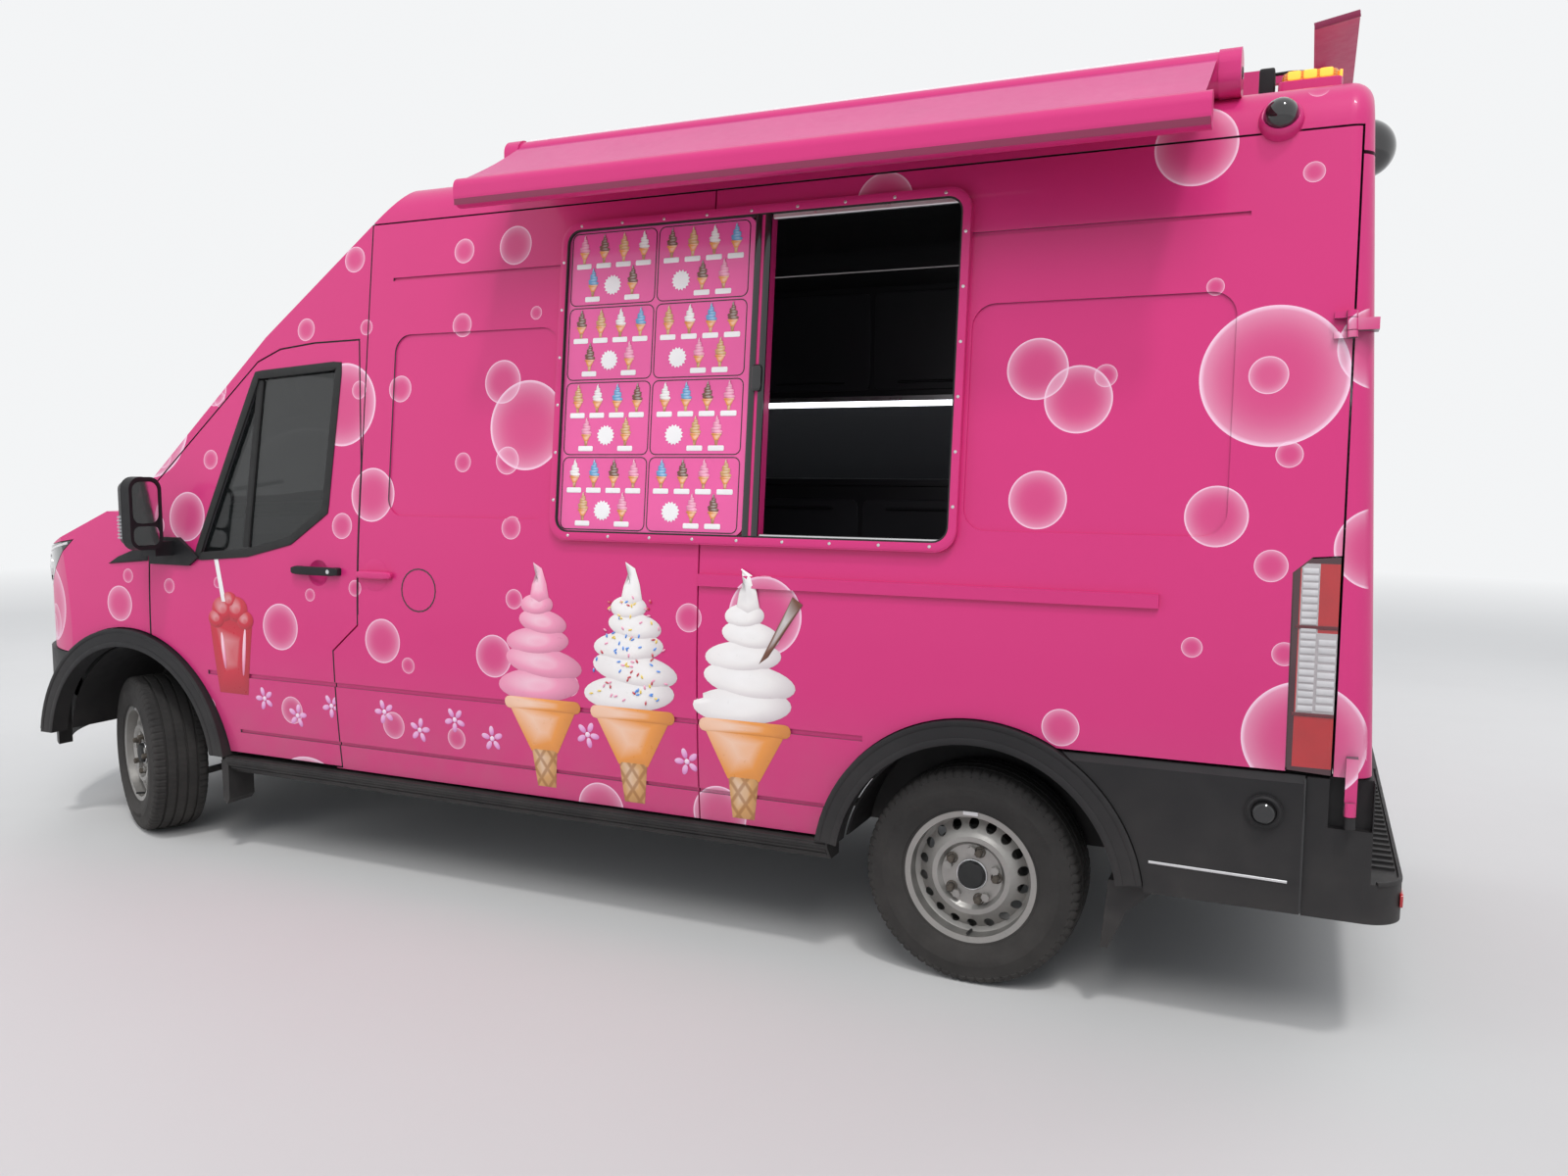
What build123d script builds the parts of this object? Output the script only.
"""Ice cream truck: a long-wheelbase, high-roof van with a serving hatch, an awning and roof signs.

Millimetres. +X forward, +Y left, +Z up. The origin is on the ground, on the centre plane,
midway between the nose and the tail.
"""
import os
from math import cos, radians, sin

from build123d import *

os.makedirs("parts", exist_ok=True)

# Driving sizes of the van
WHEELBASE = 3750
FRONT_OVERHANG = 1023
REAR_OVERHANG = 1208
BODY_WIDTH = 2059
ROOF_Z = 2750
MIRROR_HALF = 1237
TRACK_FRONT = 1732
TRACK_REAR = 1743
LENGTH = WHEELBASE + FRONT_OVERHANG + REAR_OVERHANG
REAR_AXLE_X = REAR_OVERHANG - LENGTH / 2
FRONT_AXLE_X = REAR_AXLE_X + WHEELBASE
NOSE_X = LENGTH / 2
TAIL_X = -LENGTH / 2
WALL = 50
GLASS = 6
SEAM = 6
DOOR_GAP = 7
DOOR_STEP = 8
SKIN = 14

# Wheels
TYRE_R = 348
TYRE_W = 235
RIM_SEAT_R = 203
RIM_W = 185
HUB_OFFSET = 60
KINGPIN_OFFSET = 65
KINGPIN_Y = TRACK_FRONT / 2 - KINGPIN_OFFSET
STEER_AT_REST = -24.6
VENT_COUNT = 18
VENT_RING_R = 163
VENT_R = 16
NUT_COUNT = 5
NUT_RING_R = 80

# Body form: half widths and heights of the cross-section
SECTION_BASE_Z = 430
SECTION_BASE_HALF = 1009
WIDEST_Z = 880
BELT_Z = 1450
BELT_HALF = 1002
EAVE_Z = 2690
EAVE_HALF = 868
EAVE_R = 140

# Body form: nose, windscreen, roof front and tail in the side view
NOSE_SETBACK = 50
NOSE_BOW_R = 1900
NOSE_CORNER_R = 700
NOSE_HALF = 1040
SCREEN_BOW_R = 1640
BOW_MATCH_Y = 850
BONNET_POINT = (2740, 1281)
BONNET_DEG = 21.6
SCREEN_BASE_X = 2236
BONNET_REAR_X = 2330
BROW_POINT = (2925, 1012)
BROW_DEG = 62
SCREEN_POINT = (2189, 1524)
SCREEN_DEG = 41.0
DOME_POINT = (1572, 2074)
DOME_DEG = 36.2
ROOF_ARC_R = 628
ROOF_ARC_X = 430
ROOF_ARC_TOP = 2762
ROOF_ARC_DEG = 36
TAIL_LOW = (-2908, 600)
TAIL_HIGH = (-2835, 2400)
TAIL_EDGE_R = 60

# Reach of the blocks that cut the body form
BODY_CUT = 1250
SIDE_REACH = 1300
TAIL_REACH = 3300
PRISM_BELOW = 3000
PRISM_ABOVE = 8000
PRISM_BACK = 9000

# Panel joints
B_PILLAR_X = 648
SEALED_DOOR_REAR_X = -842
TAIL_SEAM_X = -2800
GUTTER_Z = 2560
CLADDING_Z = 800
REAR_DOOR_Z = (800, 2482)

# Side pressings: window panels (x from, x to) on each side, and creases (x from, x to, z from, z to)
PRESS_DEPTH = 7
PRESS_CORNER_R = 70
WINDOW_PANEL_Z = (1443, 2130)
WINDOW_PANELS = {
    1: ((-2502, -1745), (-236, 510)),
    -1: ((-2502, -1790), (-1660, -330), (-200, 510)),
}
CREASES = ((-1438, 1474, 762, 780), (-1303, 1313, 526, 540), (-2526, 535, 2337, 2349))
RAIL_COVER = ((-2330, -846), (1236, 1276))

# Rear door hinges: the axis leans with the side and the tail, and each eye spans (z from, z to)
HINGE_LOW = (-2847, 1062, 704)
HINGE_HIGH = (-2794, 970, 2020)
HINGE_PIN_R = 14
LOWER_FIXED_EYES = ((668, 700),)
LOWER_DOOR_EYE = (702, 740)
UPPER_FIXED_EYES = ((1984, 2002), (2038, 2056))
UPPER_DOOR_EYE = (2004, 2036)
UPPER_ARM_X = (-2797, -2750)
UPPER_ARM_Y = (930, 962)
LOWER_ARM_X = (-2858, -2836)
LOWER_ARM_Y = (990, 1062)

# Handles, mirrors, step and mud flaps
HANDLE = (851, 1220)
HANDLE_LENGTH = 230
MIRROR_X = 1628
MIRROR_CENTRE = (1163, 1434)
MIRROR_BASE = ((1504, 1252), (1560, 1214), (1796, 1214), (1796, 1268), (1716, 1330), (1620, 1330))
STEP_Z = 512
STEP_FRONT_X = -2908
KNOB = (-2633, 686)
REAR_FLAP = ((-2350, 418), (-2214, 418), (-2196, 208), (-2218, 208), (-2270, 330), (-2350, 404))
FRONT_FLAP = ((1380, 416), (1420, 400), (1414, 236), (1398, 214), (1380, 236))

# Wheel arches: centre, clear radius and flare radius
FRONT_ARCH = (1960, 345, 505, 580)
REAR_ARCH = (-1800, 345, 448, 520)

# Floor and chassis
FLOOR_Z = (640, 680)
RAIL_Y = 430
CROSS_MEMBER_X = (-2690, -1250, -250, 760, 2560)
JACK_X = (-1150, 1150)
JACK_Z = 400
TOW_EYE = (-2910, -430, 362)
TOW_EYE_R = 20


def rear_x(metres):
    """X of a point given in metres ahead of the rear axle."""
    return REAR_AXLE_X + 1000 * metres


def side_plane(y):
    """A plane across the vehicle at y, seen from the left: sketch X is +X and sketch Y is +Z."""
    return Plane(origin=(0, y, 0), x_dir=(1, 0, 0), z_dir=(0, -1, 0))


def side_prism(outline, y_from, y_to, grow=0.0):
    """A prism across the vehicle with a side-view outline, grown or shrunk all round."""
    with BuildPart() as prism:
        with BuildSketch(side_plane(y_to)):
            with BuildLine():
                Polyline(*outline, close=True)
            make_face()
            if grow:
                offset(amount=grow, kind=Kind.INTERSECTION)
        extrude(amount=y_to - y_from)
    return prism.part


def block(x, y, z):
    """A box from three (low, high) pairs."""
    with BuildPart() as made:
        with Locations(((x[0] + x[1]) / 2, (y[0] + y[1]) / 2, (z[0] + z[1]) / 2)):
            Box(x[1] - x[0], y[1] - y[0], z[1] - z[0])
    return made.part


def bow_depth(radius, half):
    """How far an arc of this radius falls back at half its width."""
    return radius - (radius**2 - half**2) ** 0.5


def bowed_prism(point, degrees, bow_r, inset):
    """All that lies behind a cylinder that leans back at degrees and is bowed across the vehicle.

    bow_r is the bow's radius in plan, which the cylinder meets at the side of the windscreen.
    """
    lean = Vector(-cos(radians(degrees)), 0, sin(radians(degrees)))
    normal = Vector(sin(radians(degrees)), 0, cos(radians(degrees)))
    depth = bow_depth(bow_r, BOW_MATCH_Y) * sin(radians(degrees))
    radius = (BOW_MATCH_Y**2 + depth**2) / (2 * depth) - inset
    foot = Vector(point[0], 0, point[1]) - normal * inset - lean * PRISM_BELOW
    edge = -bow_depth(radius, BODY_CUT)
    with BuildPart() as prism:
        with BuildSketch(Plane(origin=foot, x_dir=normal, z_dir=lean)):
            with BuildLine():
                ThreePointArc((edge, BODY_CUT), (0, 0), (edge, -BODY_CUT))
                Polyline(
                    (edge, -BODY_CUT), (-PRISM_BACK, -BODY_CUT), (-PRISM_BACK, BODY_CUT), (edge, BODY_CUT)
                )
            make_face()
        extrude(amount=PRISM_BELOW + PRISM_ABOVE)
    return prism.part


def front_surfaces(inset):
    """The bonnet below, and the windscreen and roof front above, as one bowed block."""
    with BuildPart() as front:
        add(bowed_prism(SCREEN_POINT, SCREEN_DEG, SCREEN_BOW_R, inset))
        add(bowed_prism(DOME_POINT, DOME_DEG, SCREEN_BOW_R, inset), mode=Mode.INTERSECT)
        add(bowed_prism(BONNET_POINT, BONNET_DEG, NOSE_BOW_R, inset))
        add(bowed_prism(BROW_POINT, BROW_DEG, NOSE_BOW_R, inset), mode=Mode.INTERSECT)
    return front.part


def body_form(inset, base_z=SECTION_BASE_Z, nose_x=NOSE_X - NOSE_SETBACK, tail_open=False):
    """The body's outer form, taken in by inset all round."""
    with BuildPart() as form:
        with BuildSketch(Plane.YZ) as section:
            with BuildLine():
                base = SECTION_BASE_HALF - inset
                belt = (BELT_HALF - inset, BELT_Z)
                eave = EAVE_HALF - inset
                low = ThreePointArc((base, SECTION_BASE_Z), (BODY_WIDTH / 2 - inset, WIDEST_Z), belt)
                high = TangentArc(belt, (eave, EAVE_Z - inset), tangent=low % 1)
                ThreePointArc(high @ 1, (0, ROOF_Z - inset), (-eave, EAVE_Z - inset))
                mirror(low, about=Plane.YZ)
                mirror(high, about=Plane.YZ)
                Line((base, SECTION_BASE_Z), (-base, SECTION_BASE_Z))
            make_face()
            fillet(section.vertices().sort_by(Axis.Y)[-2:], radius=EAVE_R - inset / 2)
            if base_z < SECTION_BASE_Z:
                with Locations((0, SECTION_BASE_Z)):
                    Rectangle(2 * base, SECTION_BASE_Z - base_z, align=(Align.CENTER, Align.MAX))
        extrude(amount=LENGTH / 2 + 10, both=True)
        if not tail_open:
            with BuildSketch(side_plane(SIDE_REACH)):
                with BuildLine():
                    slope = (TAIL_HIGH[0] - TAIL_LOW[0]) / (TAIL_HIGH[1] - TAIL_LOW[1])
                    foot_z, top_z = TAIL_LOW[1] - 400, TAIL_LOW[1] + 2400
                    foot_x, top_x = (TAIL_LOW[0] + inset + slope * (z - TAIL_LOW[1]) for z in (foot_z, top_z))
                    Polyline(
                        (foot_x, foot_z), (top_x, top_z), (TAIL_REACH, top_z), (TAIL_REACH, foot_z), close=True
                    )
                make_face()
            extrude(amount=2 * SIDE_REACH, mode=Mode.INTERSECT)
            tail_face = form.faces().sort_by(Axis.X)[0]
            fillet(tail_face.edges().sort_by(Axis.Z)[1:], radius=TAIL_EDGE_R)
        with BuildSketch(Plane.XY.offset(200)) as plan:
            with BuildLine():
                half = NOSE_HALF - inset
                tip = nose_x - inset
                corner_x = tip - bow_depth(NOSE_BOW_R, half)
                ThreePointArc((corner_x, half), (tip, 0), (corner_x, -half))
                Polyline((corner_x, -half), (-TAIL_REACH, -half), (-TAIL_REACH, half), (corner_x, half))
            make_face()
            fillet(plan.vertices().sort_by(Axis.X)[-2:], radius=NOSE_CORNER_R)
        extrude(amount=2700, mode=Mode.INTERSECT)
        with BuildSketch(side_plane(SIDE_REACH)) as top:
            with BuildLine():
                centre = (ROOF_ARC_X, ROOF_ARC_TOP - ROOF_ARC_R)
                radius = ROOF_ARC_R - inset
                steep = radians(ROOF_ARC_DEG)
                front = (centre[0] + radius * sin(steep), centre[1] + radius * cos(steep))
                ThreePointArc(
                    (centre[0], centre[1] + radius),
                    (centre[0] + radius * sin(steep / 2), centre[1] + radius * cos(steep / 2)),
                    front,
                )
                Polyline(
                    front,
                    (front[0] + 1500, front[1] - 300),
                    (TAIL_REACH, 1900),
                    (TAIL_REACH, 200),
                    (-TAIL_REACH, 200),
                    (-TAIL_REACH, centre[1] + radius),
                    (centre[0], centre[1] + radius),
                )
            make_face()
        extrude(amount=2 * SIDE_REACH, mode=Mode.INTERSECT)
        add(front_surfaces(inset), mode=Mode.INTERSECT)
    return form.part


def arch_cylinder(arch, radius, y_from, y_to):
    """A cylinder across the vehicle on a wheel arch's centre, on both sides."""
    with BuildPart() as made:
        for side in (1, -1):
            with BuildSketch(Plane.XZ.offset(-side * y_from)):
                with Locations((arch[0], arch[1])):
                    Circle(radius)
            extrude(amount=-side * (y_to - y_from))
    return made.part


def rear_hinge(side, z_from, z_to):
    """A round length of a rear door's hinge axis between two heights."""
    low = Vector(HINGE_LOW[0], side * HINGE_LOW[1], HINGE_LOW[2])
    line = Vector(HINGE_HIGH[0], side * HINGE_HIGH[1], HINGE_HIGH[2]) - low
    foot = low + line * ((z_from - low.Z) / line.Z)
    with BuildPart() as made:
        with BuildSketch(Plane(origin=foot, z_dir=line)):
            Circle(HINGE_PIN_R)
        extrude(amount=(z_to - z_from) * line.length / line.Z)
    return made.part


def fixed_eyes(side, spans, x, y):
    """The fixed eyes of a rear door hinge, with the arms that carry them."""
    with BuildPart() as eyes:
        for span in spans:
            add(rear_hinge(side, *span))
            add(block(x, sorted((side * y[0], side * y[1])), span))
    return eyes.part


def pressings(side):
    """The shallow pressings of one side: window panels and creases."""
    with BuildPart() as pressed:
        with BuildSketch(side_plane(SIDE_REACH if side > 0 else 0)):
            for x_from, x_to in WINDOW_PANELS[side]:
                with Locations(((x_from + x_to) / 2, sum(WINDOW_PANEL_Z) / 2)):
                    RectangleRounded(x_to - x_from, WINDOW_PANEL_Z[1] - WINDOW_PANEL_Z[0], PRESS_CORNER_R)
            for x_from, x_to, z_from, z_to in CREASES:
                with Locations(((x_from + x_to) / 2, (z_from + z_to) / 2)):
                    Rectangle(x_to - x_from, z_to - z_from)
        extrude(amount=SIDE_REACH)
        add(PRESS_FORM, mode=Mode.SUBTRACT)
    return pressed.part


def both_sides(half):
    """A left-hand piece and its mirror image."""
    with BuildPart() as pair:
        add(half)
        mirror(about=Plane.XZ)
    return pair.part


def finish(name, part):
    """Labels a piece and writes it."""
    part.label = name
    export_step(part, f"parts/{name}.step")


OUTER = body_form(0)
INNER = body_form(WALL, base_z=300, tail_open=True)
GLASS_OUTER = body_form(SKIN)
GLASS_INNER = body_form(SKIN + GLASS)
LINING = body_form(WALL + 4, tail_open=True)
PRESS_FORM = body_form(PRESS_DEPTH, tail_open=True)
PRESSED = {side: pressings(side) for side in (1, -1)}
with BuildPart() as shell_part:
    add(OUTER)
    add(INNER, mode=Mode.SUBTRACT)
SHELL = shell_part.part
with BuildPart() as glass_part:
    add(GLASS_OUTER)
    add(GLASS_INNER, mode=Mode.SUBTRACT)
GLASS_SHELL = glass_part.part

# Side-view outlines, (x, z)
DOOR_OUTLINE = (
    (1806, 1262), (1806, 860), (1403, 436), (768, 436), (779, 907), (651, 1015), (651, 1640),
    (690, 2120), (923, 2116), (1102, 2098), (1222, 2051), (1806, 1535),
)
DOOR_WINDOW = (
    (1502, 1268), (1240, 1290), (1010, 1345), (836, 1462), (800, 2010), (1213, 1985),
)
# Front view outline of the windscreen, (y, z)
SCREEN_OUTLINE = ((-858, 1446), (858, 1446), (775, 2062), (-775, 2062))
LAMP_INNER_Y = 440
LAMP_OUTLINE = ((2655, 1012), (3000, 1012), (3000, 1252), (2560, 1262), (2300, 1300))
HATCH_X = (rear_x(0.050), rear_x(1.535))
HATCH_Z = (1375, 2490)
HATCH_FRAME_W = 28


def region(outline, y_from=-SIDE_REACH, y_to=SIDE_REACH):
    """A side-view region, smaller all round by half a panel joint."""
    return side_prism(outline, y_from, y_to, grow=-SEAM / 2)


front_arch_cut = arch_cylinder(FRONT_ARCH, FRONT_ARCH[3] + 6, 500, 1200)
rear_arch_cut = arch_cylinder(REAR_ARCH, REAR_ARCH[3] + 4, 690, 1200)
door_region = side_prism(DOOR_OUTLINE, -SIDE_REACH, SIDE_REACH, grow=-DOOR_GAP / 2)
door_core = side_prism(DOOR_OUTLINE, -SIDE_REACH, SIDE_REACH, grow=-DOOR_GAP / 2 - DOOR_STEP)
door_hole = side_prism(DOOR_OUTLINE, -SIDE_REACH, SIDE_REACH, grow=DOOR_GAP / 2)
door_window = side_prism(DOOR_WINDOW, -SIDE_REACH, SIDE_REACH)


def front_prism(outline, x_from, x_to, grow=0.0):
    """A prism along the vehicle with a front-view outline, (y, z)."""
    with BuildPart() as prism:
        with BuildSketch(Plane.YZ.offset(x_from)):
            with BuildLine():
                Polyline(*outline, close=True)
            make_face()
            if grow:
                offset(amount=grow, kind=Kind.INTERSECTION)
        extrude(amount=x_to - x_from)
    return prism.part


def plan_prism(outline, z_from, z_to, grow=0.0):
    """An upright prism with a plan outline, (x, y)."""
    with BuildPart() as prism:
        with BuildSketch(Plane.XY.offset(z_from)):
            with BuildLine():
                Polyline(*outline, close=True)
            make_face()
            if grow:
                offset(amount=grow, kind=Kind.INTERSECTION)
        extrude(amount=z_to - z_from)
    return prism.part


# The hatch lies in a plane that leans in with the body side
HATCH_LEAN = 5.9
HATCH_CENTRE_Y = 974
MULLION = (20, 75)
hatch_centre_z = sum(HATCH_Z) / 2
hatch_centre_x = sum(HATCH_X) / 2
HATCH_PLANE = Plane(
    origin=(hatch_centre_x, HATCH_CENTRE_Y, hatch_centre_z),
    x_dir=(-1, 0, 0),
    z_dir=(0, cos(radians(HATCH_LEAN)), sin(radians(HATCH_LEAN))),
)
HATCH_W = HATCH_X[1] - HATCH_X[0]
HATCH_H = (HATCH_Z[1] - HATCH_Z[0]) / cos(radians(HATCH_LEAN))
CUT_W = HATCH_W - 2 * HATCH_FRAME_W
CUT_H = HATCH_H - 2 * HATCH_FRAME_W

with BuildPart() as hatch_cut:
    with BuildSketch(HATCH_PLANE.offset(150)):
        RectangleRounded(CUT_W + 8, CUT_H + 8, 60)
    extrude(amount=-400)

# Body panels
B_POST = ((800, 400), (800, 1060), (B_PILLAR_X, 1060), (B_PILLAR_X, GUTTER_Z))
with BuildPart() as side_sealed_left:
    add(SHELL)
    sealed_side = ((SEALED_DOOR_REAR_X, 400),) + B_POST + ((SEALED_DOOR_REAR_X, GUTTER_Z),)
    add(region(sealed_side, 0), mode=Mode.INTERSECT)
    add(door_hole, mode=Mode.SUBTRACT)
    add(hatch_cut.part, mode=Mode.SUBTRACT)
    add(PRESSED[1], mode=Mode.SUBTRACT)
finish("side_sealed_left", side_sealed_left.part)

LAMP_TAIL = ((-2797, 1398), (-2726, 1392), (-2680, 1350), (-2684, 806), (-2797, 800))
tail_lamp_hole = side_prism(LAMP_TAIL, -SIDE_REACH, SIDE_REACH, grow=3)
rear_side = (
    (TAIL_SEAM_X, CLADDING_Z), (-1900, CLADDING_Z), (-1900, 400), (SEALED_DOOR_REAR_X, 400),
    (SEALED_DOOR_REAR_X, GUTTER_Z), (TAIL_SEAM_X, GUTTER_Z),
)
with BuildPart() as side_rear_left:
    add(SHELL)
    add(region(rear_side, 0), mode=Mode.INTERSECT)
    add(rear_arch_cut, mode=Mode.SUBTRACT)
    add(hatch_cut.part, mode=Mode.SUBTRACT)
    add(tail_lamp_hole, mode=Mode.SUBTRACT)
    add(PRESSED[1], mode=Mode.SUBTRACT)
    add(block(RAIL_COVER[0], (1000, 1032), RAIL_COVER[1]))
    add(fixed_eyes(1, UPPER_FIXED_EYES, UPPER_ARM_X, UPPER_ARM_Y))
finish("side_rear_left", side_rear_left.part)

right_side = rear_side[:3] + B_POST + rear_side[5:]
with BuildPart() as side_right:
    add(SHELL)
    add(region(right_side, -SIDE_REACH, 0), mode=Mode.INTERSECT)
    add(rear_arch_cut, mode=Mode.SUBTRACT)
    add(door_hole, mode=Mode.SUBTRACT)
    add(tail_lamp_hole, mode=Mode.SUBTRACT)
    add(PRESSED[-1], mode=Mode.SUBTRACT)
    add(fixed_eyes(-1, UPPER_FIXED_EYES, UPPER_ARM_X, UPPER_ARM_Y))
finish("side_right", side_right.part)

# The roof panel closes the tail above the rear doors, whose top edges rise a little as they swing
HEADER_Z = REAR_DOOR_Z[1] + 7
with BuildPart() as roof_panel:
    add(OUTER)
    add(body_form(WALL), mode=Mode.SUBTRACT)
    with BuildSketch(side_plane(SIDE_REACH)):
        with BuildLine():
            Polyline((-3000, HEADER_Z), (TAIL_SEAM_X, HEADER_Z),
                     (TAIL_SEAM_X, GUTTER_Z), (B_PILLAR_X, GUTTER_Z), (B_PILLAR_X, 2900),
                     (-3000, 2900), close=True)
        make_face()
        offset(amount=-SEAM / 2, kind=Kind.INTERSECTION)
    extrude(amount=2 * SIDE_REACH, mode=Mode.INTERSECT)
finish("roof_panel", roof_panel.part)


def behind_bow(tip, half, z_from=1100, z_to=3000):
    """All that lies behind an arc across the vehicle, as bowed as the windscreen."""
    with BuildPart() as zone:
        with BuildSketch(Plane.XY.offset(z_from)):
            with BuildLine():
                edge = tip - bow_depth(SCREEN_BOW_R, half)
                ThreePointArc((edge, half), (tip, 0), (edge, -half))
                Polyline((edge, -half), (-3100, -half), (-3100, half), (edge, half))
            make_face()
        extrude(amount=z_to - z_from)
    return zone.part


screen_hole = front_prism(SCREEN_OUTLINE, 1000, 2700)
with BuildPart() as cab_roof:
    add(SHELL)
    cab_top = ((B_PILLAR_X, 1440), (2700, 1440), (2700, 2900), (B_PILLAR_X, 2900))
    add(region(cab_top), mode=Mode.INTERSECT)
    add(behind_bow(SCREEN_BASE_X, BODY_CUT), mode=Mode.INTERSECT)
    add(door_hole, mode=Mode.SUBTRACT)
    add(screen_hole, mode=Mode.SUBTRACT)
finish("cab_roof", cab_roof.part)

with BuildPart() as windscreen:
    add(GLASS_SHELL)
    add(front_prism(SCREEN_OUTLINE, 1000, 2700, grow=-0.5), mode=Mode.INTERSECT)
    add(behind_bow(SCREEN_BASE_X, BODY_CUT), mode=Mode.INTERSECT)
finish("windscreen", windscreen.part)

BONNET_PLAN = ((1900, -790), (2232, -790), (2950, -760), (2950, 760), (2232, 790), (1900, 790))
bonnet_space = plan_prism(BONNET_PLAN, 1186, 1700)
with BuildPart() as bonnet:
    add(SHELL)
    add(bonnet_space, mode=Mode.INTERSECT)
    add(behind_bow(BONNET_REAR_X, BODY_CUT), mode=Mode.SUBTRACT)
finish("bonnet", bonnet.part)

with BuildPart() as cowl:
    add(SHELL)
    add(block((1812, 2400), (-790, 790), (1180, 1600)), mode=Mode.INTERSECT)
    add(behind_bow(BONNET_REAR_X - SEAM, BODY_CUT), mode=Mode.INTERSECT)
    add(behind_bow(SCREEN_BASE_X + 1, BODY_CUT), mode=Mode.SUBTRACT)
finish("cowl", cowl.part)

NOSE_Z = 1005
NOSE_SEAM_X = 2640
lamp_hole = side_prism(LAMP_OUTLINE, LAMP_INNER_Y, SIDE_REACH, grow=3)
bonnet_clear = plan_prism(((2228, -796), (2990, -766), (2990, 766), (2228, 796)), 1180, 1700)
cowl_clear = block((1790, 2300), (-796, 796), (1100, 1600))
with BuildPart() as left_wing:
    add(SHELL)
    wing_side = (
        (1809, 1434), (1809, 400), (2310, 400), (2310, CLADDING_Z - 4), (NOSE_SEAM_X, CLADDING_Z - 4),
        (NOSE_SEAM_X, NOSE_Z), (2960, NOSE_Z), (2960, 1434),
    )
    add(region(wing_side, 0), mode=Mode.INTERSECT)
    add(block((2240, 3000), (-10, LAMP_INNER_Y), (300, 2000)), mode=Mode.SUBTRACT)
    add(front_arch_cut, mode=Mode.SUBTRACT)
    add(bonnet_clear, mode=Mode.SUBTRACT)
    add(cowl_clear, mode=Mode.SUBTRACT)
    add(lamp_hole, mode=Mode.SUBTRACT)
finish("front_wings", both_sides(left_wing.part))

GRILLE_HALF = 430
GRILLE_Z = (850, 1178)
with BuildPart() as nose_panel:
    add(SHELL)
    add(block((NOSE_SEAM_X + 4, 3000), (-SIDE_REACH, SIDE_REACH), (CLADDING_Z, 1180)), mode=Mode.INTERSECT)
    add(block((NOSE_SEAM_X, 3000), (LAMP_INNER_Y, SIDE_REACH), (NOSE_Z, SIDE_REACH)), mode=Mode.SUBTRACT)
    add(block((NOSE_SEAM_X, 3000), (-SIDE_REACH, -LAMP_INNER_Y), (NOSE_Z, SIDE_REACH)), mode=Mode.SUBTRACT)
    add(block((NOSE_SEAM_X, 3000), (-GRILLE_HALF, GRILLE_HALF), GRILLE_Z), mode=Mode.SUBTRACT)
finish("nose_panel", nose_panel.part)

with BuildPart() as grille:
    add(GLASS_SHELL)
    add(block((NOSE_SEAM_X, 3000), (-GRILLE_HALF + 1, GRILLE_HALF - 1), (GRILLE_Z[0] + 1, GRILLE_Z[1] - 1)),
        mode=Mode.INTERSECT)
with BuildPart() as grille_bars:
    add(SHELL)
    with BuildSketch(Plane.YZ.offset(NOSE_SEAM_X)):
        for z in range(GRILLE_Z[0] + 34, GRILLE_Z[1] - 20, 48):
            with Locations((0, z)):
                Rectangle(2 * GRILLE_HALF - 2, 16)
    extrude(amount=400, mode=Mode.INTERSECT)
with BuildPart() as barred:
    add(grille.part)
    add(grille_bars.part)
finish("grille", barred.part)

with BuildPart() as lamp_left:
    add(SHELL)
    add(side_prism(LAMP_OUTLINE, LAMP_INNER_Y + 3, SIDE_REACH, grow=-1), mode=Mode.INTERSECT)
    add(plan_prism(((2200, 0), (2990, 0), (2990, 766), (2200, 796)), 1180, 1700), mode=Mode.SUBTRACT)
finish("headlamps", both_sides(lamp_left.part))

# Front bumper, in black plastic
def bumper_plan(tip, half, corner_r):
    """Plan outline of the bumper out to tip."""
    with BuildSketch(Plane.XY) as plan:
        with BuildLine():
            corner_x = tip - bow_depth(NOSE_BOW_R, half)
            ThreePointArc((corner_x, half), (tip, 0), (corner_x, -half))
            Polyline((corner_x, -half), (2000, -half), (2000, half), (corner_x, half))
        make_face()
        fillet(plan.vertices().sort_by(Axis.X)[-2:], radius=corner_r)
    return plan.sketch


BUMPER_Z = (340, 794)
FOG_Y = 700
BUMPER_HALF = 1026
BUMPER_WALL = 60
with BuildPart() as front_bumper:
    extrude(bumper_plan(NOSE_X, BUMPER_HALF, NOSE_CORNER_R), amount=BUMPER_Z[1])
    hollow = bumper_plan(NOSE_X - BUMPER_WALL, BUMPER_HALF - BUMPER_WALL, NOSE_CORNER_R - BUMPER_WALL)
    extrude(hollow, amount=BUMPER_Z[1], mode=Mode.SUBTRACT)
    with BuildSketch(side_plane(SIDE_REACH)):
        with BuildLine():
            Polyline(
                (2100, BUMPER_Z[0]), (2820, BUMPER_Z[0]), (3100, 520), (3100, BUMPER_Z[1]),
                (2300, BUMPER_Z[1]), (2300, 560), (2100, 400), close=True,
            )
        make_face()
    extrude(amount=2 * SIDE_REACH, mode=Mode.INTERSECT)
    add(front_arch_cut, mode=Mode.SUBTRACT)
    with Locations((NOSE_X, 0, 560)):
        Box(300, 900, 150, mode=Mode.SUBTRACT)
    with BuildSketch(Plane.YZ.offset(2600)):
        with Locations((FOG_Y, 560), (-FOG_Y, 560)):
            Circle(52)
    extrude(amount=400, mode=Mode.SUBTRACT)
finish("front_bumper", front_bumper.part)

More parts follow.
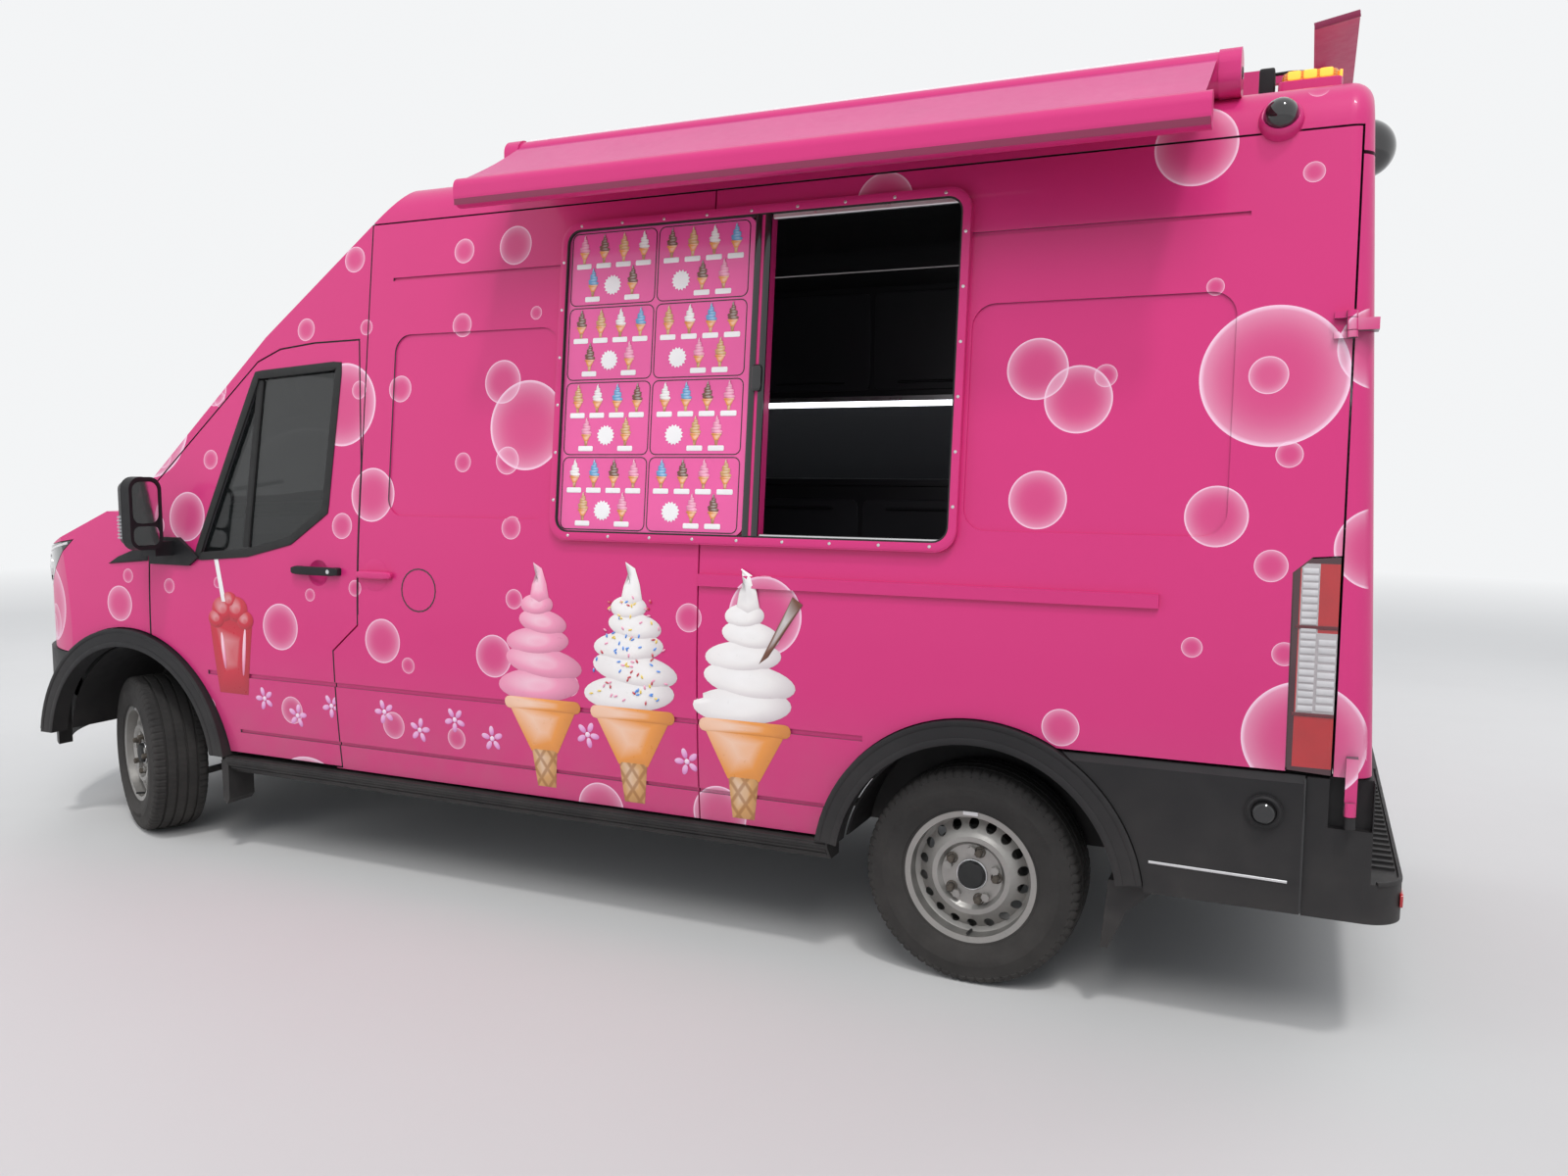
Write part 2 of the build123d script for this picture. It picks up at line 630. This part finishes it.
# Front doors: the inner part steps in from the outer skin all round
with BuildPart() as skin:
    add(OUTER)
    add(GLASS_OUTER, mode=Mode.SUBTRACT)
    add(door_region, mode=Mode.INTERSECT)
door_skin = skin.part
with BuildPart() as lining:
    add(GLASS_OUTER)
    add(INNER, mode=Mode.SUBTRACT)
    add(door_core, mode=Mode.INTERSECT)
door_lining = lining.part
for side, name in ((1, "left"), (-1, "right")):
    half = block((0, 2600), (10, SIDE_REACH) if side > 0 else (-SIDE_REACH, -10), (300, 2600))
    with BuildPart() as door:
        add(door_skin)
        add(door_lining)
        add(half, mode=Mode.INTERSECT)
        add(door_window, mode=Mode.SUBTRACT)
        add(front_arch_cut, mode=Mode.SUBTRACT)
        add(PRESSED[side], mode=Mode.SUBTRACT)
        with Locations((HANDLE[0], side * 1075, HANDLE[1] - 6)):
            Sphere(75, mode=Mode.SUBTRACT)
        with Locations((HANDLE[0], side * 1039, HANDLE[1])):
            Box(HANDLE_LENGTH, 14, 26)
        for end in (-1, 1):
            with Locations((HANDLE[0] + end * (HANDLE_LENGTH / 2 - 18), side * 1028, HANDLE[1])):
                Box(36, 36, 26)
    finish(f"door_front_{name}", door.part)
    with BuildPart() as pane:
        add(GLASS_SHELL)
        add(side_prism(DOOR_WINDOW, -SIDE_REACH, SIDE_REACH, grow=-0.5), mode=Mode.INTERSECT)
        add(half, mode=Mode.INTERSECT)
    finish(f"glass_front_{name}", pane.part)

    with BuildPart() as mirror_part:
        with BuildSketch(Plane.YZ.offset(MIRROR_X)) as head:
            with Locations((side * MIRROR_CENTRE[0], MIRROR_CENTRE[1])):
                RectangleRounded(2 * (MIRROR_HALF - MIRROR_CENTRE[0]), 298, 52)
        extrude(amount=50)
        extrude(head.sketch.moved(Location((50, 0, 0))), amount=42, taper=26)
        with BuildSketch(Plane.YZ.offset(MIRROR_X)):
            with Locations((side * MIRROR_CENTRE[0], MIRROR_CENTRE[1])):
                RectangleRounded(122, 266, 40)
        extrude(amount=6, mode=Mode.SUBTRACT)
        add(block((1640, 1712), sorted((side * 990, side * 1120)), (1256, 1316)))
        add(side_prism(MIRROR_BASE, *sorted((side * 990, side * 1032))))
        add(OUTER, mode=Mode.SUBTRACT)
    finish(f"mirror_{name}", mirror_part.part)

# Rear doors
DOOR_SPLIT = 4
REAR_WINDOW = ((150, 1500), (760, 1500), (730, 2180), (150, 2180))
for side, name in ((1, "left"), (-1, "right")):
    window = tuple((side * y, z) for y, z in REAR_WINDOW)
    with BuildPart() as door:
        add(OUTER)
        door_y = sorted((side * DOOR_SPLIT, side * SIDE_REACH))
        add(block((-3000, TAIL_SEAM_X - SEAM / 2), door_y, REAR_DOOR_Z), mode=Mode.INTERSECT)
        add(front_prism(window, -3100, -2600), mode=Mode.SUBTRACT)
        add(rear_hinge(side, *LOWER_DOOR_EYE))
        add(rear_hinge(side, *UPPER_DOOR_EYE))
        add(block((-2862, -2832), sorted((side * 1015, side * 1062)), (LOWER_DOOR_EYE[0], 860)))
        add(block((-2860, -2806), sorted((side * 900, side * 974)), UPPER_DOOR_EYE))
    finish(f"door_rear_{name}", door.part)
    with BuildPart() as pane:
        add(GLASS_SHELL)
        add(front_prism(window, -3100, -2600, grow=-0.5), mode=Mode.INTERSECT)
    finish(f"glass_rear_{name}", pane.part)

# Sills, arch flares, cladding and rear bumper
with BuildPart() as sill:
    with BuildSketch(Plane.YZ.offset(-1325)):
        with BuildLine():
            Polyline((930, 352), (1000, 352), (1036, 398), (1036, 418), (930, 418), close=True)
        make_face()
    extrude(amount=1325 + 1385)
    add(side_prism(FRONT_FLAP, 900, 1028))
finish("sills", both_sides(sill.part))

FLARE_Y = (975, 1050)
with BuildPart() as flares:
    for arch in (FRONT_ARCH, REAR_ARCH):
        with BuildSketch(side_plane(FLARE_Y[1])):
            with Locations((arch[0], arch[1])):
                Circle(arch[3])
                Circle(arch[2], mode=Mode.SUBTRACT)
            with Locations((arch[0], arch[1] - 350)):
                Rectangle(1300, 850, mode=Mode.SUBTRACT)
        extrude(amount=FLARE_Y[1] - FLARE_Y[0])
finish("arch_flares", both_sides(flares.part))

with BuildPart() as cladding:
    with BuildSketch(side_plane(1042)):
        with BuildLine():
            Polyline((-2734, 404), (-2734, 794), (-1900, 794), (-1900, 404), close=True)
        make_face()
        with Locations((REAR_ARCH[0], REAR_ARCH[1])):
            Circle(REAR_ARCH[3] + 3, mode=Mode.SUBTRACT)
    extrude(amount=60)
    chamfer(cladding.edges().filter_by(Axis.X).group_by(Axis.Z)[-1].sort_by(Axis.Y)[-1], length=20)
    for radius, proud in ((50, 10), (29, 26)):
        with BuildSketch(side_plane(1042 + proud)):
            with Locations(KNOB):
                Circle(radius)
        extrude(amount=proud + 10)
    add(side_prism(REAR_FLAP, 790, 1012))
finish("rear_cladding", both_sides(cladding.part))

with BuildPart() as rear_bumper:
    with BuildSketch(Plane.XY.offset(400)) as plan:
        with Locations(((TAIL_X - 2738) / 2, 0)):
            RectangleRounded(2 * (TAIL_X / -2 - 2738 / 2), 2064, 100)
        with Locations((-2738, 0)):
            Rectangle(100, 2064, align=(Align.MAX, Align.CENTER))
        with Locations((-2700, 0)):
            Rectangle(320, 1920, mode=Mode.SUBTRACT)
    extrude(amount=392)
    add(block((TAIL_X - 10, STEP_FRONT_X), (-1100, 1100), (STEP_Z, 800)), mode=Mode.SUBTRACT)
    for side in (1, -1):
        notch_y = sorted((side * 1000, side * 1100))
        add(block((-2905, -2795), notch_y, (LOWER_FIXED_EYES[0][0] - 12, 800)), mode=Mode.SUBTRACT)
        add(fixed_eyes(side, LOWER_FIXED_EYES, LOWER_ARM_X, LOWER_ARM_Y))
    with Locations((STEP_FRONT_X - 22, 0, STEP_Z + 60)):
        Box(50, 320, 130)
    with Locations((STEP_FRONT_X - 38, 0, STEP_Z + 2)):
        with GridLocations(0, 56, 1, 32):
            Box(60, 16, 10)
finish("rear_bumper", rear_bumper.part)

with BuildPart() as lamp:
    add(SHELL)
    add(side_prism(LAMP_TAIL, 0, SIDE_REACH, grow=-1), mode=Mode.INTERSECT)
finish("tail_lamps", both_sides(lamp.part))

# Hatch
with BuildPart() as hatch_frame:
    with BuildSketch(HATCH_PLANE):
        RectangleRounded(HATCH_W, HATCH_H, 70)
        RectangleRounded(CUT_W, CUT_H, 50, mode=Mode.SUBTRACT)
    extrude(amount=-45)
    with BuildSketch(HATCH_PLANE):
        with Locations((sum(MULLION) / 2, 0)):
            Rectangle(MULLION[1] - MULLION[0], CUT_H + 4)
    extrude(amount=-45)
    add(side_sealed_left.part, mode=Mode.SUBTRACT)
    add(side_rear_left.part, mode=Mode.SUBTRACT)
finish("hatch_frame", hatch_frame.part)

with BuildPart() as menu_panel:
    with BuildSketch(HATCH_PLANE.offset(-10)):
        with Locations(((MULLION[0] - 1 - CUT_W / 2 + 1) / 2, 0)):
            RectangleRounded(MULLION[0] + CUT_W / 2 - 2, CUT_H - 2, 48)
    extrude(amount=-12)
finish("menu_panel", menu_panel.part)

# Floor, wheel housings and galley
with BuildPart() as floor_pan:
    add(block((TAIL_SEAM_X + 8, 1830), (-955, 955), FLOOR_Z))
    add(block((1838, 1850), (-925, 925), (FLOOR_Z[0], 1170)))
    add(block((1828, 1842), (-925, 925), FLOOR_Z))
    add(arch_cylinder(REAR_ARCH, REAR_ARCH[2] + 1, 721, 1000), mode=Mode.SUBTRACT)
    add(arch_cylinder(FRONT_ARCH, FRONT_ARCH[2] + 1, 531, 1000), mode=Mode.SUBTRACT)
finish("floor_pan", floor_pan.part)

with BuildPart() as housing:
    for arch, y_from, wall in ((FRONT_ARCH, 532, 6), (REAR_ARCH, 722, 6)):
        with BuildSketch(side_plane(955)):
            with Locations((arch[0], arch[1])):
                Circle(arch[2])
                Circle(arch[2] - wall, mode=Mode.SUBTRACT)
            with Locations((arch[0], arch[1] - 370)):
                Rectangle(1300, 900, mode=Mode.SUBTRACT)
        extrude(amount=955 - y_from)
        with BuildSketch(side_plane(y_from + wall)):
            with Locations((arch[0], arch[1])):
                Circle(arch[2])
            with Locations((arch[0], arch[1] - 370)):
                Rectangle(1300, 900, mode=Mode.SUBTRACT)
        extrude(amount=wall)
finish("wheel_housings", both_sides(housing.part))

# Each unit from low to high (x, y, z): base cabinets, wall cabinets, counter under the hatch
GALLEY_UNITS = (
    ((-2700, 300), (-930, -420), (684, 1560)),
    ((-2700, 300), (-900, -560), (1960, 2440)),
    ((-1740, -240), (520, 900), (684, 1330)),
)
with BuildPart() as galley:
    for unit in GALLEY_UNITS:
        add(block(*unit))
    add(LINING, mode=Mode.INTERSECT)
    add(arch_cylinder(REAR_ARCH, REAR_ARCH[2] + 10, 712, 1000), mode=Mode.SUBTRACT)
finish("galley_units", galley.part)

# Cab inside
DASH_OUTLINE = ((1820, 1010), (1500, 1010), (1420, 1180), (1500, 1330), (1820, 1390))
DASH_HALF = 880
STEERING_AT = (1260, -450, 1300)
STEERING_R = 200
SEAT_Y = 450
with BuildPart() as dashboard:
    add(side_prism(DASH_OUTLINE, -DASH_HALF, DASH_HALF))
    wheel_plane = Plane(origin=STEERING_AT, x_dir=(0, 1, 0), z_dir=(-0.88, 0, 0.475))
    with BuildSketch(wheel_plane):
        Circle(STEERING_R)
        Circle(STEERING_R - 28, mode=Mode.SUBTRACT)
    extrude(amount=14, both=True)
    with BuildSketch(wheel_plane):
        Rectangle(360, 40)
        Circle(60)
    extrude(amount=8, both=True)
    with BuildSketch(wheel_plane):
        Circle(30)
    extrude(amount=-330)
finish("dashboard", dashboard.part)

SEAT_BACK = ((770, 1064), (900, 1064), (780, 1740), (670, 1740))
with BuildPart() as seats:
    for y in (-SEAT_Y, SEAT_Y):
        add(block((700, 1170), (y - 245, y + 245), (684, 1060)))
        add(side_prism(SEAT_BACK, y - 235, y + 235))
finish("cab_seats", seats.part)

# Awning
CASE_X = (rear_x(-0.640), rear_x(1.743))
CASE_END = 60
CASE_BRACKET_X = (-300, -1232, -2160)
# Folding arms of the awning: x at the ends, x at the elbow
AWNING_ARMS = ((-150, -1120), (-2315, -1345))
RAIL_X = (rear_x(-0.655), rear_x(1.755))
with BuildPart() as awning_cassette:
    add(block(CASE_X, (765, 885), (2690, 2808)))
    fillet(awning_cassette.edges().filter_by(Axis.X).sort_by(Axis.Y)[-2:], radius=45)
    fillet(awning_cassette.edges().filter_by(Axis.X).sort_by(Axis.Y)[:2], radius=15)
    for low in (CASE_X[0] - CASE_END, CASE_X[1]):
        with BuildSketch(Plane.YZ.offset(low)):
            with Locations((825, 2749)):
                RectangleRounded(132, 130, 50)
        extrude(amount=CASE_END)
    for x in CASE_BRACKET_X:
        add(block((x - 40, x + 40), (700, 870), (2640, 2700)))
    add(OUTER, mode=Mode.SUBTRACT)
finish("awning_cassette", awning_cassette.part)

with BuildPart() as awning_rail:
    add(block(RAIL_X, (1182, MIRROR_HALF), (2503, 2600)))
    fillet(awning_rail.edges().filter_by(Axis.X).sort_by(Axis.Y)[-2:], radius=34)
    fillet(awning_rail.edges().filter_by(Axis.X).sort_by(Axis.Y)[:2], radius=12)
    for end, elbow in AWNING_ARMS:
        middle = (elbow, 1030, 2640)
        for start, stop in (((end, 880, 2712), middle), (middle, (end, 1190, 2560))):
            line = Vector(*stop) - Vector(*start)
            with BuildSketch(Plane(origin=start, z_dir=line)):
                Rectangle(34, 44)
            extrude(amount=line.length)
    add(awning_cassette.part, mode=Mode.SUBTRACT)
finish("awning_rail", awning_rail.part)

with BuildPart() as awning_fabric:
    with BuildSketch(Plane.YZ.offset(RAIL_X[0] + 20)):
        with BuildLine():
            Polyline((890, 2772), (1186, 2604), (1186, 2608), (890, 2776), close=True)
        make_face()
    extrude(amount=RAIL_X[1] - RAIL_X[0] - 40)
finish("awning_fabric", awning_fabric.part)

# Roof fittings
with BuildPart() as beacon_bar:
    add(block((-2745, -2570), (365, 645), (2700, 2765)))
    add(block((-2738, -2577), (372, 638), (2765, 2800)))
    fillet(beacon_bar.edges().filter_by(Axis.Z), radius=25)
    add(OUTER, mode=Mode.SUBTRACT)
finish("beacon_bar", beacon_bar.part)

DOME_AT = Plane(origin=(-2592, 800, 2560), z_dir=(0, cos(radians(25)), sin(radians(25))))
with BuildPart() as side_dome:
    with BuildSketch(DOME_AT):
        Circle(60)
    extrude(amount=105)
    with Locations(DOME_AT.offset(105)):
        Sphere(46)
    add(OUTER, mode=Mode.SUBTRACT)
finish("side_dome", side_dome.part)

with BuildPart() as rear_camera:
    with Locations((-2815, 480, 2590)):
        Sphere(85)
    add(block((-3000, -2700), (300, 700), (2510, 2700)), mode=Mode.INTERSECT)
    add(OUTER, mode=Mode.SUBTRACT)
finish("rear_camera", rear_camera.part)

SIGN_BOARD = ((-2660, 2964), (-2785, 2986), (-2785, 3000), (-2660, 2978))
with BuildPart() as roof_sign:
    add(side_prism(SIGN_BOARD, -460, 460))
    add(block((-2700, -2480), (-15, 15), (2950, 2976)))
    add(block((-2510, -2440), (-60, 60), (2700, 2984)))
    add(OUTER, mode=Mode.SUBTRACT)
finish("roof_sign", roof_sign.part)

# Chassis
with BuildPart() as chassis_frame:
    for side in (1, -1):
        add(block((-2730, 2640), (side * RAIL_Y - 35, side * RAIL_Y + 35), (500, FLOOR_Z[0])))
    for x in CROSS_MEMBER_X:
        add(block((x - 40, x + 40), (-RAIL_Y, RAIL_Y), (520, 620)))
    for side in (1, -1):
        for x in JACK_X:
            add(block((x - 40, x + 40), sorted((side * 440, side * 880)), (540, FLOOR_Z[0])))
            add(block((x - 40, x + 40), sorted((side * 800, side * 880)), (JACK_Z, FLOOR_Z[0])))
    with BuildSketch(side_plane(TOW_EYE[1] + 10)):
        with BuildLine():
            Polyline(
                (-2690, 600), (-2840, 600), (-2840, 394), (-2950, 394), (-2950, 330), (-2790, 330),
                (-2760, 520), (-2690, 520), close=True,
            )
        make_face()
    extrude(amount=20)
    with BuildSketch(side_plane(TOW_EYE[1] + 10)):
        with Locations((TOW_EYE[0], TOW_EYE[2])):
            Circle(TOW_EYE_R)
    extrude(amount=20, mode=Mode.SUBTRACT)
finish("chassis_frame", chassis_frame.part)

# Front suspension: cross-member, uprights to the rails, lower arms and strut towers
with BuildPart() as front_suspension:
    add(block((FRONT_AXLE_X - 50, FRONT_AXLE_X + 50), (-500, 500), (260, 340)))
    for side in (1, -1):
        upright = (side * 470 - 30, side * 470 + 30)
        hanger = (side * 500 - 30, side * 500 + 30)
        arm = sorted((side * 480, side * (KINGPIN_Y + 2)))
        add(block((FRONT_AXLE_X - 40, FRONT_AXLE_X + 40), upright, (300, 520)))
        add(block((FRONT_AXLE_X - 37, FRONT_AXLE_X + 37), hanger, (196, 300)))
        add(block((FRONT_AXLE_X - 18, FRONT_AXLE_X + 18), arm, (196, 218)))
        with BuildSketch(Plane.XY.offset(500)):
            with Locations((FRONT_AXLE_X, side * 470)):
                Circle(52)
        extrude(amount=500)
    add(chassis_frame.part, mode=Mode.SUBTRACT)
finish("front_suspension", front_suspension.part)

with BuildPart() as powertrain:
    add(block((1880, 2480), (-240, 240), (420, 1040)))
    add(block((1150, 1900), (-130, 130), (380, 620)))
    with BuildSketch(Plane.YZ.offset(-1650)):
        with Locations((0, 400)):
            Circle(40)
    extrude(amount=2810)
    add(chassis_frame.part, mode=Mode.SUBTRACT)
    add(front_suspension.part, mode=Mode.SUBTRACT)
finish("powertrain", powertrain.part)

with BuildPart() as rear_axle:
    with BuildSketch(Plane.XZ.offset(-760)):
        with Locations((REAR_AXLE_X, TYRE_R)):
            Circle(46)
    extrude(amount=1520)
    with Locations((REAR_AXLE_X, 0, TYRE_R)):
        Sphere(135)
    for side in (1, -1):
        with BuildSketch(Plane.XZ.offset(-side * 760)):
            with Locations((REAR_AXLE_X, TYRE_R)):
                Circle(150)
        extrude(amount=-side * (TRACK_REAR / 2 + 30 - 760))
        with BuildSketch(Plane.XZ.offset(-side * 800)):
            with Locations((REAR_AXLE_X, TYRE_R)):
                Circle(90)
        extrude(amount=-side * (TRACK_REAR / 2 + HUB_OFFSET - 800 - 1))
        spring_y = (side * 600 - 35, side * 600 + 35)
        for z, half in ((440, 640), (428, 420)):
            add(block((REAR_AXLE_X - half, REAR_AXLE_X + half), spring_y, (z - 12, z)))
        add(block((REAR_AXLE_X - 60, REAR_AXLE_X + 60), (side * 600 - 40, side * 600 + 40), (350, 430)))
        for x in (REAR_AXLE_X - 620, REAR_AXLE_X + 620):
            add(block((x - 20, x + 20), (side * 450, side * 640) if side > 0 else (-640, -450), (430, 560)))
    add(powertrain.part, mode=Mode.SUBTRACT)
    add(chassis_frame.part, mode=Mode.SUBTRACT)
finish("rear_axle", rear_axle.part)

with BuildPart() as fuel_tank:
    add(block((-100, 700), (500, 900), (330, 600)))
    fillet(fuel_tank.edges().filter_by(Axis.X), radius=50)
finish("fuel_tank", fuel_tank.part)

# Pipe and silencer: radius, x from, x to
EXHAUST_AT = (-620, 420)
EXHAUST = ((34, -1100, 1300), (110, -300, 400))
with BuildPart() as exhaust:
    for radius, x_from, x_to in EXHAUST:
        with BuildSketch(Plane.YZ.offset(x_from)):
            with Locations(EXHAUST_AT):
                Circle(radius)
        extrude(amount=x_to - x_from)
finish("exhaust", exhaust.part)


# Wheels
def tyre_at(centre, outward):
    """A tyre about its axle: bead seat, side walls, shoulders and tread."""
    plane = Plane(origin=centre, x_dir=outward, z_dir=Vector(outward).cross(Vector(0, 0, 1)))
    w = TYRE_W / 2
    with BuildPart() as tyre:
        with BuildSketch(plane):
            with BuildLine():
                Polyline((-w + 28, RIM_SEAT_R), (-w, 275), (-w + 26, TYRE_R), (w - 26, TYRE_R), (w, 275),
                         (w - 28, RIM_SEAT_R), close=True)
            make_face()
        revolve(axis=Axis(centre, outward))
    return tyre.part


def rim_at(centre, outward):
    """A pressed steel wheel: barrel, vented disc, hub face and nuts."""
    plane = Plane(origin=centre, x_dir=outward, z_dir=Vector(outward).cross(Vector(0, 0, 1)))
    seat = RIM_SEAT_R - 1
    with BuildPart() as rim:
        with BuildSketch(plane):
            with BuildLine():
                Polyline(
                    (-101, 217), (-96.5, 217), (-91, seat), (91, seat), (96.5, 217), (101, 217), (98, 194),
                    (58, 190), (46, 176), (66, 150), (84, 126), (84, 110), (70, 98), (68, 44), (82, 40),
                    (86, 30), (88, 0), (HUB_OFFSET, 0), (HUB_OFFSET, 100), (76, 113), (76, 124), (58, 146),
                    (38, 174), (38, 190), (-93, 190), close=True,
                )
            make_face()
        revolve(axis=Axis(centre, outward))
        face = Plane(origin=Vector(*centre) + Vector(outward) * 30, x_dir=plane.y_dir, z_dir=outward)
        with BuildSketch(face):
            with PolarLocations(VENT_RING_R, VENT_COUNT):
                Circle(VENT_R)
        extrude(amount=60, mode=Mode.SUBTRACT)
        with BuildSketch(face.offset(34)):
            with PolarLocations(NUT_RING_R, NUT_COUNT):
                RegularPolygon(radius=14, side_count=6)
        extrude(amount=22)
    return rim.part


def turned(point, degrees):
    """A plan vector turned about +Z."""
    a = radians(degrees)
    return (point[0] * cos(a) - point[1] * sin(a), point[0] * sin(a) + point[1] * cos(a))


for side, name in ((1, "left"), (-1, "right")):
    offset_x, offset_y = turned((0, side * KINGPIN_OFFSET), STEER_AT_REST)
    out_x, out_y = turned((0, side), STEER_AT_REST)
    hub = (FRONT_AXLE_X + offset_x, side * KINGPIN_Y + offset_y, TYRE_R)
    outward = (out_x, out_y, 0)
    finish(f"tyre_front_{name}", tyre_at(hub, outward))
    finish(f"rim_front_{name}", rim_at(hub, outward))
    rear_hub = (REAR_AXLE_X, side * TRACK_REAR / 2, TYRE_R)
    finish(f"tyre_rear_{name}", tyre_at(rear_hub, (0, side, 0)))
    finish(f"rim_rear_{name}", rim_at(rear_hub, (0, side, 0)))

    # Knuckle: kingpin post, stub and brake disc inside the rim
    axle = Plane(origin=(FRONT_AXLE_X, side * KINGPIN_Y, TYRE_R), x_dir=(0, 0, 1), z_dir=outward)
    with BuildPart() as knuckle:
        with BuildSketch(Plane.XY.offset(228)):
            with Locations((FRONT_AXLE_X, side * KINGPIN_Y)):
                Circle(24)
        extrude(amount=230)
        with BuildSketch(axle.offset(-40)):
            Circle(62)
        extrude(amount=40 + KINGPIN_OFFSET + HUB_OFFSET - 1)
        with BuildSketch(axle.offset(20)):
            Circle(150)
        extrude(amount=26)
    finish(f"knuckle_{name}", knuckle.part)

SPARE_X = -2380
with BuildPart() as spare:
    with BuildSketch(Plane.XY.offset(330)):
        with Locations((SPARE_X, 0)):
            Circle(TYRE_R - 8)
    extrude(amount=150)
finish("spare_wheel", spare.part)
